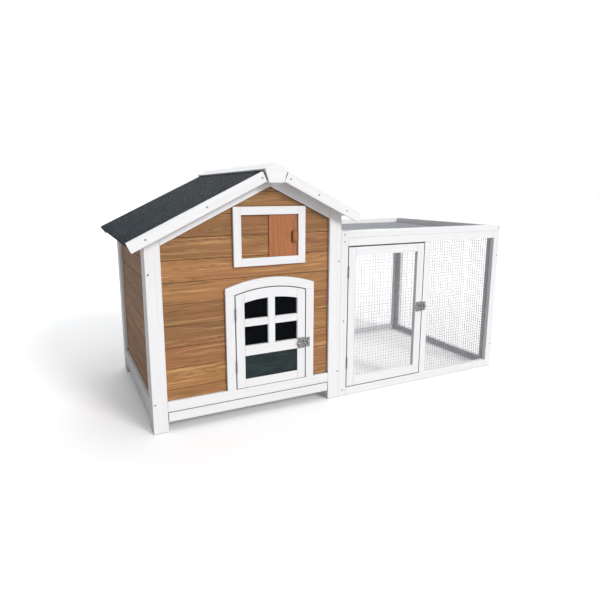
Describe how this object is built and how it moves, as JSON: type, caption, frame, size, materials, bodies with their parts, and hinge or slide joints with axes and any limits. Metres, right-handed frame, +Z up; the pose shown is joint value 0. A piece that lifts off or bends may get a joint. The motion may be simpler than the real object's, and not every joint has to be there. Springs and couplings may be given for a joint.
{
  "type": "rabbit hutch",
  "caption": "Wooden rabbit hutch: a plank house with an uneven gable roof, arched door, sliding vent shutter and pull-out tray, joined to a low wire-mesh run with its own door.",
  "frame": {"origin": "on the ground, under the centre of the whole hutch's box", "axes": "+X along the front from the house to the run, +Y from the front to the back, +Z up"},
  "size_m": [1.5586, 0.804, 0.8735],
  "materials": {
    "white_wood": "satin white paint over pine",
    "honey_planks": "honey-brown stain over fir planks",
    "plain_wood": "bare sawn",
    "roofing_felt": "mineral-faced roofing felt",
    "shutter_wood": "red-brown stained plywood",
    "dark_panel": "dark green-grey paint",
    "smoked_pane": "dark clear acrylic",
    "wire_mesh": "zinc-grey welded wire",
    "zinc_steel": "zinc plate",
    "galvanised_pan": "galvanised sheet"
  },
  "bodies": {
    "hutch": {"front_left_post": "white_wood", "front_right_post": "white_wood", "back_posts": "white_wood", "front_rake_boards": "white_wood", "back_rake_boards": "white_wood", "front_bottom_rail": "white_wood", "back_bottom_rail": "white_wood", "left_side_stiles": "white_wood", "left_side_rails": "white_wood", "right_side_stiles": "white_wood", "right_side_rails": "white_wood", "ridge_cap_boards": "white_wood", "front_barge_boards": "white_wood", "back_barge_boards": "white_wood", "gable_keystones": "white_wood", "door_arch_head": "white_wood", "door_jambs": "white_wood", "window_frame": "white_wood", "slider_runners": "white_wood", "run_front_stiles": "white_wood", "run_front_rails": "white_wood", "run_side_frame": "white_wood", "run_back_frame": "white_wood", "run_roof_frame": "white_wood", "front_planks": "honey_planks", "back_planks": "honey_planks", "left_side_planks": "honey_planks", "right_side_planks": "honey_planks", "roof_deck_left": "plain_wood", "roof_deck_right": "plain_wood", "tray_runners": "plain_wood", "felt_left": "roofing_felt", "felt_right": "roofing_felt", "run_front_mesh": "wire_mesh", "run_side_mesh": "wire_mesh", "run_back_mesh": "wire_mesh", "run_roof_mesh": "wire_mesh", "hinge_frame_leaves": "zinc_steel", "hinge_pins": "zinc_steel", "bolt_keepers": "zinc_steel", "frame_screws": "zinc_steel"},
    "house_door": {"house_door_stiles": "white_wood", "house_door_top_rail": "white_wood", "house_door_rails": "white_wood", "house_door_muntins": "white_wood", "house_door_pane": "smoked_pane", "house_door_panel": "dark_panel", "house_hinge_door_leaves": "zinc_steel", "house_bolt_plate": "zinc_steel"},
    "house_bolt": {"house_bolt": "zinc_steel"},
    "run_door": {"run_door_stiles": "white_wood", "run_door_rails": "white_wood", "run_door_mesh": "wire_mesh", "run_hinge_door_leaves": "zinc_steel", "run_bolt_plate": "zinc_steel"},
    "run_bolt": {"run_bolt": "zinc_steel"},
    "window_slider": {"slider_panel": "shutter_wood", "slider_handle": "shutter_wood"},
    "tray": {"tray_front": "white_wood", "tray_pan": "galvanised_pan"}
  },
  "joints": [
    {"name": "house_door_hinge", "type": "hinge", "parent": "hutch", "child": "house_door", "pos_m": [-0.43347, -0.3518, 0.279], "axis": [0, 0, -1], "range_deg": [0, 115]},
    {"name": "house_bolt_slide", "type": "slide", "parent": "house_door", "child": "house_bolt", "axis": [1, 0, 0], "range_m": [0, 0.012]},
    {"name": "run_door_hinge", "type": "hinge", "parent": "hutch", "child": "run_door", "pos_m": [0.01003, -0.3518, 0.3085], "axis": [0, 0, -1], "range_deg": [0, 100]},
    {"name": "run_bolt_slide", "type": "slide", "parent": "run_door", "child": "run_bolt", "axis": [1, 0, 0], "range_m": [0, 0.012]},
    {"name": "window_slide", "type": "slide", "parent": "hutch", "child": "window_slider", "axis": [-1, 0, 0], "range_m": [0, 0.11]},
    {"name": "tray_slide", "type": "slide", "parent": "hutch", "child": "tray", "axis": [0, -1, 0], "range_m": [0, 0.5]}
  ]
}
